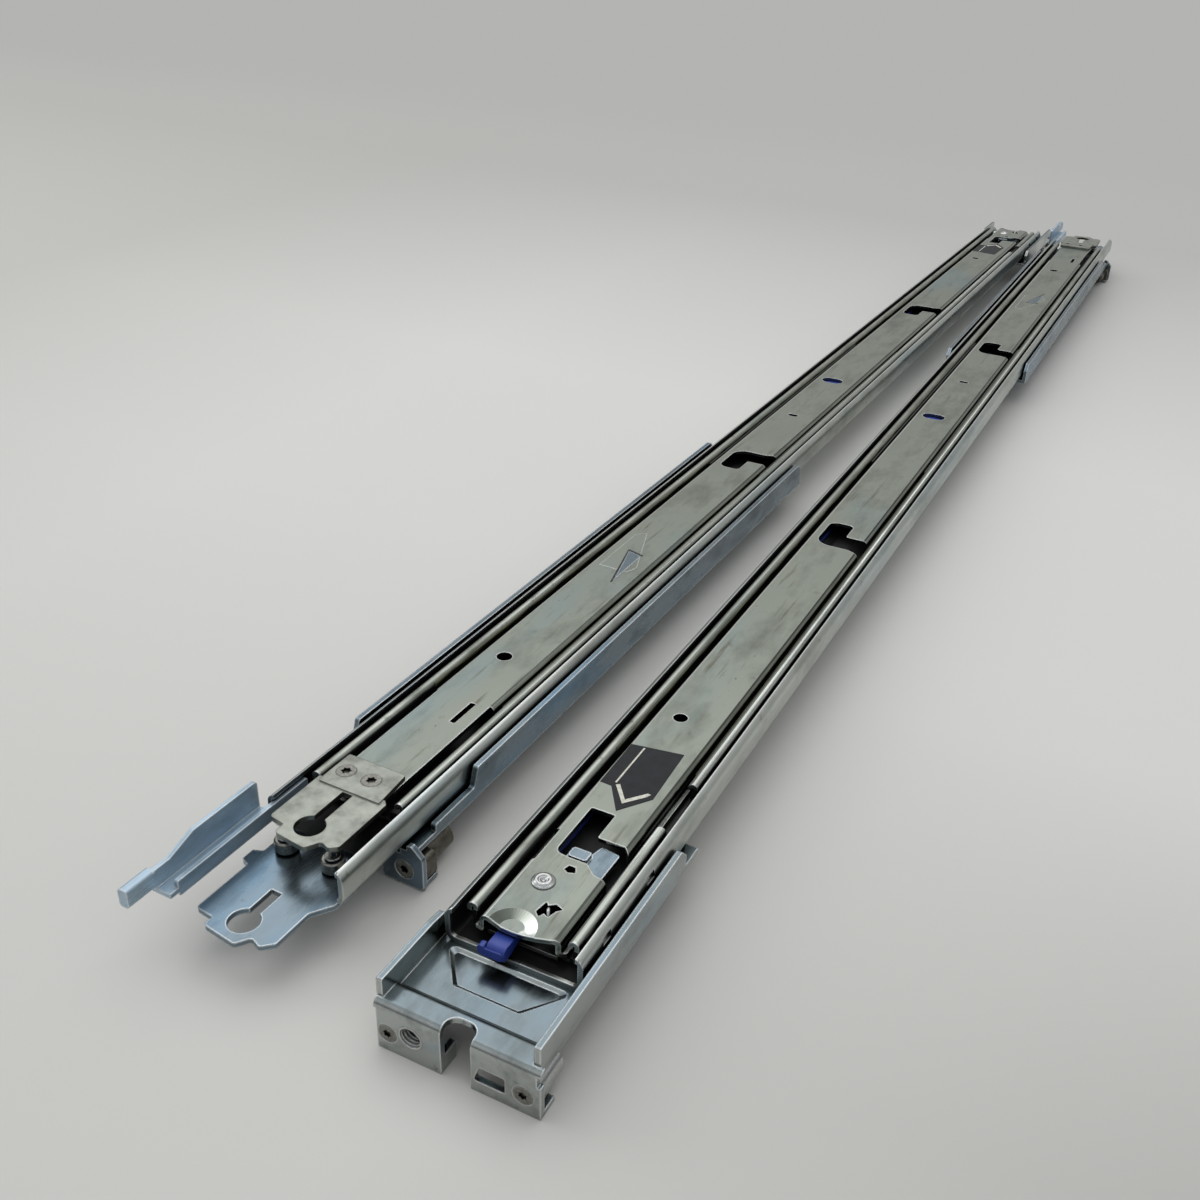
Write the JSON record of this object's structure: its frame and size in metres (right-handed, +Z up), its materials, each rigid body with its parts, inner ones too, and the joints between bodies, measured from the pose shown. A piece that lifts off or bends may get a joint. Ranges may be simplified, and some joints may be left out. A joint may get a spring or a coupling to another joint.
{
  "type": "server rack sliding rail pair",
  "caption": "Pair of full-extension sliding server rails with nested channels, ball cages, rack-pin brackets, front latches, release bars and adjustable rear brackets.",
  "frame": {"origin": "centre of the pair's footprint, at the lowest edge of the brackets' ears", "axes": "+Z up from the surface the rails lie on; +Y from the front of the right rail to its rear; +X across the pair, towards the right rail's upper side in the rack"},
  "size_m": [0.101, 0.7606, 0.0236],
  "materials": {
    "galvanised_rail": "satin galvanised steel with faint stains",
    "blue_zinc": "bright blue passivated zinc",
    "nickel_pin": "nickel plated turned steel",
    "dark_cast": "dark grey-brown cast metal",
    "cast_zinc": "pale tumbled zinc casting",
    "bearing_steel": "polished bearing steel",
    "black_plastic": "matt black acetal",
    "blue_plastic": "satin blue-violet acetal",
    "dark_label": "satin dark film label"
  },
  "bodies": {
    "rail_pair": {"right_outer_rail": "galvanised_rail", "right_front_bracket": "blue_zinc", "right_front_pins": "nickel_pin", "right_bracket_rivets": "nickel_pin", "right_tongue": "blue_zinc", "right_rear_arm": "blue_zinc", "right_front_hook_pin": "nickel_pin", "left_outer_rail": "galvanised_rail", "left_front_bracket": "blue_zinc", "left_front_pins": "nickel_pin", "left_bracket_rivets": "nickel_pin", "left_tongue": "blue_zinc", "left_rear_arm": "blue_zinc", "left_front_hook_pin": "nickel_pin"},
    "right_rear_bracket": {"right_rear_bracket": "galvanised_rail", "right_rear_pins": "dark_cast", "right_rear_screws": "nickel_pin", "right_rear_hook_pin": "nickel_pin"},
    "right_rear_hook": {"right_rear_hook": "blue_zinc"},
    "right_front_hook": {"right_front_hook": "blue_zinc"},
    "right_roller_low": {"right_roller_low": "nickel_pin"},
    "right_roller_high": {"right_roller_high": "nickel_pin"},
    "right_middle": {"right_middle_rail": "galvanised_rail", "right_rear_stops": "black_plastic"},
    "right_outer_cage": {"right_outer_cage": "black_plastic", "right_outer_balls": "bearing_steel"},
    "right_inner": {"right_inner_rail": "galvanised_rail", "right_latch_pivot": "nickel_pin", "right_label": "dark_label", "right_cable_plate": "cast_zinc", "right_cable_screws": "nickel_pin"},
    "right_inner_cage": {"right_inner_cage": "black_plastic", "right_inner_balls": "bearing_steel"},
    "right_front_latch": {"right_front_latch": "blue_zinc"},
    "right_release_slider": {"right_release_slider": "blue_plastic"},
    "left_rear_bracket": {"left_rear_bracket": "galvanised_rail", "left_rear_pins": "dark_cast", "left_rear_screws": "nickel_pin", "left_rear_hook_pin": "nickel_pin"},
    "left_rear_hook": {"left_rear_hook": "blue_zinc"},
    "left_front_hook": {"left_front_hook": "blue_zinc"},
    "left_roller_low": {"left_roller_low": "nickel_pin"},
    "left_roller_high": {"left_roller_high": "nickel_pin"},
    "left_middle": {"left_middle_rail": "galvanised_rail", "left_rear_stops": "black_plastic"},
    "left_outer_cage": {"left_outer_cage": "black_plastic", "left_outer_balls": "bearing_steel"},
    "left_inner": {"left_inner_rail": "galvanised_rail", "left_latch_pivot": "nickel_pin", "left_label": "dark_label", "left_cable_plate": "cast_zinc", "left_cable_screws": "nickel_pin"},
    "left_inner_cage": {"left_inner_cage": "black_plastic", "left_inner_balls": "bearing_steel"},
    "left_front_latch": {"left_front_latch": "blue_zinc"},
    "left_release_slider": {"left_release_slider": "blue_plastic"}
  },
  "joints": [
    {"name": "right_middle_slide", "type": "slide", "parent": "rail_pair", "child": "right_middle", "axis": [0, -1, 0], "range_m": [0, 0.345]},
    {"name": "right_inner_slide", "type": "slide", "parent": "right_middle", "child": "right_inner", "axis": [0, -1, 0], "range_m": [0, 0.355]},
    {"name": "right_outer_cage_slide", "type": "slide", "parent": "rail_pair", "child": "right_outer_cage", "axis": [0, -1, 0], "range_m": [0, 0.1725]},
    {"name": "right_inner_cage_slide", "type": "slide", "parent": "right_middle", "child": "right_inner_cage", "axis": [0, -1, 0], "range_m": [0, 0.1775]},
    {"name": "right_depth_slide", "type": "slide", "parent": "rail_pair", "child": "right_rear_bracket", "axis": [0, 1, 0], "range_m": [-0.015, 0.035]},
    {"name": "right_front_hook_pivot", "type": "hinge", "parent": "rail_pair", "child": "right_front_hook", "pos_m": [0.02105, -0.35062, 0.0048], "axis": [0, 0, 1], "range_deg": [0, 12], "stiffness_Nm_per_rad": 0.05},
    {"name": "right_rear_hook_pivot", "type": "hinge", "parent": "right_rear_bracket", "child": "right_rear_hook", "pos_m": [0.01365, 0.29278, 0.0048], "axis": [0, 0, -1], "range_deg": [0, 12], "stiffness_Nm_per_rad": 0.05},
    {"name": "right_latch_turn", "type": "hinge", "parent": "right_inner", "child": "right_front_latch", "pos_m": [0.02645, -0.33292, 0.0175], "axis": [0, 0, 1], "range_deg": [0, 6], "stiffness_Nm_per_rad": 0.05},
    {"name": "right_release_pull", "type": "slide", "parent": "right_inner", "child": "right_release_slider", "axis": [0, -1, 0], "range_m": [0, 0.006], "stiffness_N_per_m": 120},
    {"name": "right_roller_low_spin", "type": "hinge", "parent": "rail_pair", "child": "right_roller_low", "pos_m": [0.0222, 0.34418, 0.0132], "axis": [0, 0, 1], "continuous": true},
    {"name": "right_roller_high_spin", "type": "hinge", "parent": "rail_pair", "child": "right_roller_high", "pos_m": [0.0359, 0.34418, 0.0132], "axis": [0, 0, 1], "continuous": true},
    {"name": "left_middle_slide", "type": "slide", "parent": "rail_pair", "child": "left_middle", "axis": [0.0204, 0.9998, 0], "range_m": [0, 0.345]},
    {"name": "left_inner_slide", "type": "slide", "parent": "left_middle", "child": "left_inner", "axis": [0.0204, 0.9998, 0], "range_m": [0, 0.355]},
    {"name": "left_outer_cage_slide", "type": "slide", "parent": "rail_pair", "child": "left_outer_cage", "axis": [0.0204, 0.9998, 0], "range_m": [0, 0.1725]},
    {"name": "left_inner_cage_slide", "type": "slide", "parent": "left_middle", "child": "left_inner_cage", "axis": [0.0204, 0.9998, 0], "range_m": [0, 0.1775]},
    {"name": "left_depth_slide", "type": "slide", "parent": "rail_pair", "child": "left_rear_bracket", "axis": [-0.0204, -0.9998, 0], "range_m": [-0.015, 0.035]},
    {"name": "left_front_hook_pivot", "type": "hinge", "parent": "rail_pair", "child": "left_front_hook", "pos_m": [-0.02238, 0.35025, 0.0048], "axis": [0, 0, -1], "range_deg": [0, 12], "stiffness_Nm_per_rad": 0.05},
    {"name": "left_rear_hook_pivot", "type": "hinge", "parent": "left_rear_bracket", "child": "left_rear_hook", "pos_m": [-0.04292, -0.29286, 0.0048], "axis": [0, 0, 1], "range_deg": [0, 12], "stiffness_Nm_per_rad": 0.05},
    {"name": "left_latch_turn", "type": "hinge", "parent": "left_inner", "child": "left_front_latch", "pos_m": [-0.01734, 0.33245, 0.0175], "axis": [0, 0, -1], "range_deg": [0, 6], "stiffness_Nm_per_rad": 0.05},
    {"name": "left_release_pull", "type": "slide", "parent": "left_inner", "child": "left_release_slider", "axis": [0.0204, 0.9998, 0], "range_m": [0, 0.006], "stiffness_N_per_m": 120},
    {"name": "left_roller_low_spin", "type": "hinge", "parent": "rail_pair", "child": "left_roller_low", "pos_m": [-0.03542, -0.34443, 0.0132], "axis": [0, 0, 1], "continuous": true},
    {"name": "left_roller_high_spin", "type": "hinge", "parent": "rail_pair", "child": "left_roller_high", "pos_m": [-0.02172, -0.34471, 0.0132], "axis": [0, 0, 1], "continuous": true}
  ],
  "couplings": [
    {"joint": "right_outer_cage_slide", "follows": "right_middle_slide", "ratio": 0.5},
    {"joint": "right_inner_cage_slide", "follows": "right_inner_slide", "ratio": 0.5},
    {"joint": "left_outer_cage_slide", "follows": "left_middle_slide", "ratio": 0.5},
    {"joint": "left_inner_cage_slide", "follows": "left_inner_slide", "ratio": 0.5}
  ]
}
